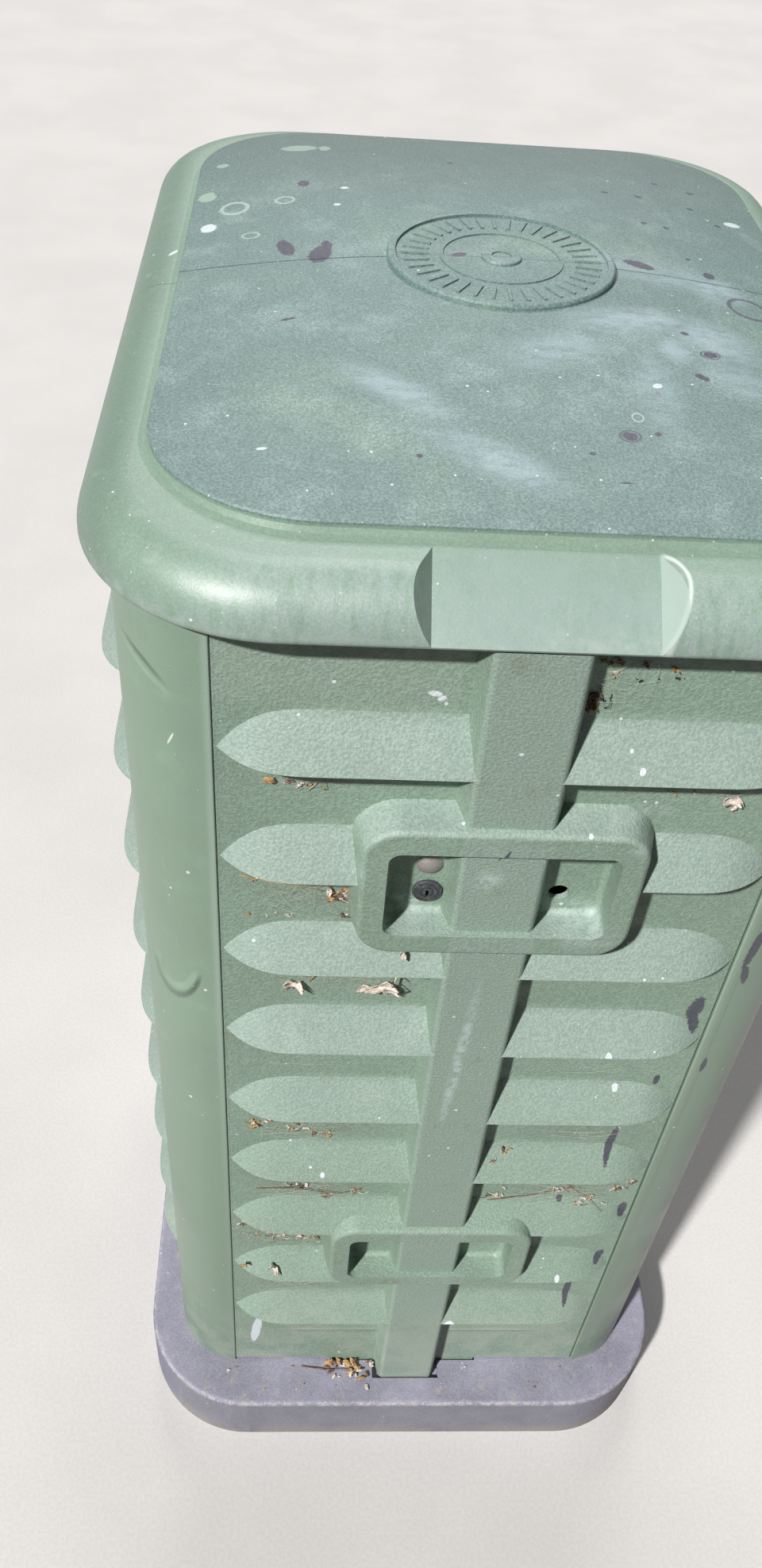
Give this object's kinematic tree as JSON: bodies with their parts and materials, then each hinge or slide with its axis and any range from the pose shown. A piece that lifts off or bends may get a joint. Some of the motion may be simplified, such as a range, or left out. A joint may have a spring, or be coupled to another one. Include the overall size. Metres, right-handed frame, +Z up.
{
  "type": "roadside utility cabinet",
  "caption": "Free-standing green moulded street cabinet with louvred panels, tilt-out front and rear covers, rounded roof and dark plinth.",
  "frame": {"origin": "centre of the plinth's underside, on the ground", "axes": "+Z up, the front cover with its lock faces -Y, +X to the right seen from the front"},
  "size_m": [0.584, 0.816, 1.2059],
  "materials": {
    "green_moulding": "satin, smooth moulded",
    "green_roof": "satin, lightly grained, weathered",
    "green_cover": "grained, weathered",
    "plinth_plastic": "matt, dusty",
    "galvanised_steel": "galvanised",
    "zinc_fastener": "zinc plated",
    "lock_black": "satin",
    "lock_rotor_black": "blackened",
    "stud_weathered": "weathered",
    "seal_foam": "matt foam",
    "grommet_rubber": "matt",
    "terminal_plastic": "satin",
    "earth_copper": "dull copper"
  },
  "bodies": {
    "cabinet": {"base_plinth": "plinth_plastic", "bottom_frame": "galvanised_steel", "top_frame": "galvanised_steel", "corner_post_front_right": "green_moulding", "corner_post_front_left": "green_moulding", "corner_post_rear_right": "green_moulding", "corner_post_rear_left": "green_moulding", "side_panel_left": "green_moulding", "side_panel_right": "green_moulding", "roof": "green_roof", "gland_plate": "galvanised_steel", "cable_grommets": "grommet_rubber", "equipment_upright_left": "galvanised_steel", "equipment_upright_right": "galvanised_steel", "equipment_top_rail": "galvanised_steel", "equipment_rail_lower": "galvanised_steel", "equipment_rail_middle": "galvanised_steel", "equipment_rail_upper": "galvanised_steel", "mounting_bar_left": "galvanised_steel", "mounting_bar_right": "galvanised_steel", "terminal_blocks_left": "terminal_plastic", "terminal_blocks_right": "terminal_plastic", "earth_bar": "earth_copper", "roof_screws": "zinc_fastener", "front_header": "green_moulding", "front_sill": "green_moulding", "front_cover_seal": "seal_foam", "front_lock_rail": "galvanised_steel", "rear_header": "green_moulding", "rear_sill": "green_moulding", "rear_cover_seal": "seal_foam", "rear_lock_rail": "galvanised_steel"},
    "front_cover": {"front_cover": "green_cover", "front_lock_body": "lock_black", "front_lock_nut": "zinc_fastener", "front_lock_backing_plate": "galvanised_steel", "front_cover_stud": "stud_weathered"},
    "front_lock": {"front_lock_rotor": "lock_rotor_black", "front_lock_cam": "zinc_fastener"},
    "rear_cover": {"rear_cover": "green_cover", "rear_lock_body": "lock_black", "rear_lock_nut": "zinc_fastener", "rear_lock_backing_plate": "galvanised_steel", "rear_cover_stud": "stud_weathered"},
    "rear_lock": {"rear_lock_rotor": "lock_rotor_black", "rear_lock_cam": "zinc_fastener"}
  },
  "joints": [
    {"name": "front_cover_tilt", "type": "hinge", "parent": "cabinet", "child": "front_cover", "pos_m": [0, -0.377, 0.076], "axis": [1, 0, 0], "range_deg": [0, 12]},
    {"name": "front_lock_turn", "type": "hinge", "parent": "front_cover", "child": "front_lock", "pos_m": [-0.0466, -0.357, 0.904], "axis": [0, 1, 0], "range_deg": [0, 90]},
    {"name": "rear_cover_tilt", "type": "hinge", "parent": "cabinet", "child": "rear_cover", "pos_m": [0, 0.377, 0.076], "axis": [-1, 0, 0], "range_deg": [0, 12]},
    {"name": "rear_lock_turn", "type": "hinge", "parent": "rear_cover", "child": "rear_lock", "pos_m": [0.0466, 0.357, 0.904], "axis": [0, -1, 0], "range_deg": [0, 90]}
  ]
}
